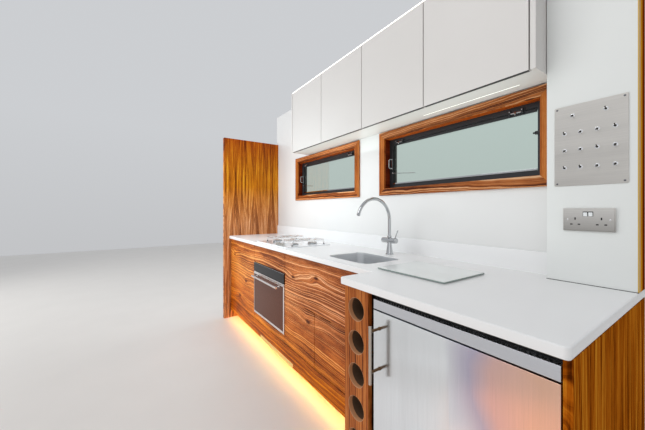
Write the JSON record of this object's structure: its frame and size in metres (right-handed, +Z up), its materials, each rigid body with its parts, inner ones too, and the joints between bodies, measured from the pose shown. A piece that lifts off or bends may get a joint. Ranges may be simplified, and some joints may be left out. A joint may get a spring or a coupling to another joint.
{
  "type": "houseboat galley",
  "caption": "Fitted houseboat galley: cabin side with windows, walnut base cupboards, oven, fridge, wine rack, worktop with sink and hob, white wall cupboards.",
  "frame": {"origin": "on the cabin floor, in the middle of the footprint", "axes": "+X along the galley towards its near, fridge end, +Y from the cabin out through its side, +Z up"},
  "size_m": [3.032, 0.9, 2.314],
  "materials": {
    "walnut": "satin lacquer",
    "birch": "clear lacquer",
    "white_board": "satin",
    "white_lining": "gloss",
    "worktop_white": "polished",
    "hob_white": "gloss",
    "steel": "brushed",
    "chrome": "polished",
    "black_glass": "polished",
    "clear_glass": "clear",
    "black_metal": "satin",
    "hull_paint": "gloss",
    "dark_plastic": "matte",
    "inner_plastic": "gloss",
    "light_strip": "emissive"
  },
  "bodies": {
    "root": {"cabin_side": "white_lining", "outer_skin": "hull_paint", "window_frame_near": "walnut", "window_vent_near": "black_metal", "window_glass_near": "clear_glass", "window_frame_far": "walnut", "window_vent_far": "black_metal", "window_glass_far": "clear_glass", "service_column": "white_board", "column_end_panel": "walnut", "switch_plate": "steel", "socket_outlet": "steel", "worktop": "worktop_white", "sink_bowl": "steel", "tap_body": "chrome", "hob": "hob_white", "pan_support_near": "steel", "pan_support_far": "steel", "sink_cover": "worktop_white", "base_floor": "white_board", "divider_sink": "white_board", "divider_oven_near": "white_board", "divider_oven_far": "white_board", "divider_bulkhead": "white_board", "oven_support": "white_board", "plinth": "dark_plastic", "bottom_band": "walnut", "heater_grille": "steel", "oven_front_above": "walnut", "oven_front_below": "walnut", "corner_return": "walnut", "wine_rack_front": "walnut", "wine_tube_1": "dark_plastic", "wine_tube_2": "dark_plastic", "wine_tube_3": "dark_plastic", "wine_tube_4": "dark_plastic", "wine_tube_5": "dark_plastic", "end_panel": "walnut", "fridge_bay_side": "dark_plastic", "bulkhead": "walnut", "oven_body": "steel", "oven_control_panel": "black_glass", "fridge_cabinet": "inner_plastic", "fridge_control_strip": "steel", "wall_cupboard": "white_board"},
    "oven_door": {"oven_door": "black_glass", "oven_handle": "steel"},
    "fridge_door": {"fridge_door": "steel", "fridge_handle": "steel"},
    "pan_drawer": {"pan_drawer_front": "walnut", "pan_drawer_box": "birch"},
    "base_door_near": {"base_door_near": "walnut"},
    "base_door_far": {"base_door_far": "walnut"},
    "far_cupboard_door": {"far_cupboard_door": "walnut"},
    "wall_door_1": {"wall_door_1": "white_board"},
    "wall_door_2": {"wall_door_2": "white_board"},
    "wall_door_3": {"wall_door_3": "white_board"},
    "wall_door_4": {"wall_door_4": "white_board"},
    "tap_spout": {"tap_spout": "chrome"}
  },
  "joints": [
    {"name": "oven_door_drop", "type": "hinge", "parent": "root", "child": "oven_door", "pos_m": [-0.4635, -0.22, 0.276], "axis": [1, 0, 0], "range_deg": [0, 90]},
    {"name": "fridge_door_swing", "type": "hinge", "parent": "root", "child": "fridge_door", "pos_m": [1.493, -0.397, 0.434], "axis": [0, 0, 1], "range_deg": [0, 110]},
    {"name": "pan_drawer_slide", "type": "slide", "parent": "root", "child": "pan_drawer", "axis": [0, -1, 0], "range_m": [0, 0.4]},
    {"name": "base_door_near_swing", "type": "hinge", "parent": "root", "child": "base_door_near", "pos_m": [0.628, -0.214, 0.379], "axis": [0, 0, 1], "range_deg": [0, 90]},
    {"name": "base_door_far_swing", "type": "hinge", "parent": "root", "child": "base_door_far", "pos_m": [-0.159, -0.214, 0.379], "axis": [0, 0, -1], "range_deg": [0, 90]},
    {"name": "far_cupboard_door_swing", "type": "hinge", "parent": "root", "child": "far_cupboard_door", "pos_m": [-1.469, -0.214, 0.538], "axis": [0, 0, -1], "range_deg": [0, 90]},
    {"name": "wall_door_1_swing", "type": "hinge", "parent": "root", "child": "wall_door_1", "pos_m": [1.229, 0.161, 2.024], "axis": [0, 0, 1], "range_deg": [0, 90]},
    {"name": "wall_door_2_swing", "type": "hinge", "parent": "root", "child": "wall_door_2", "pos_m": [0.2495, 0.161, 2.024], "axis": [0, 0, -1], "range_deg": [0, 90]},
    {"name": "wall_door_3_swing", "type": "hinge", "parent": "root", "child": "wall_door_3", "pos_m": [0.2405, 0.161, 2.024], "axis": [0, 0, 1], "range_deg": [0, 90]},
    {"name": "wall_door_4_swing", "type": "hinge", "parent": "root", "child": "wall_door_4", "pos_m": [-0.739, 0.161, 2.024], "axis": [0, 0, -1], "range_deg": [0, 90]},
    {"name": "tap_spout_swivel", "type": "hinge", "parent": "root", "child": "tap_spout", "pos_m": [0.442, 0.222, 1], "axis": [0, 0, 1], "range_deg": [-60, 60]}
  ]
}
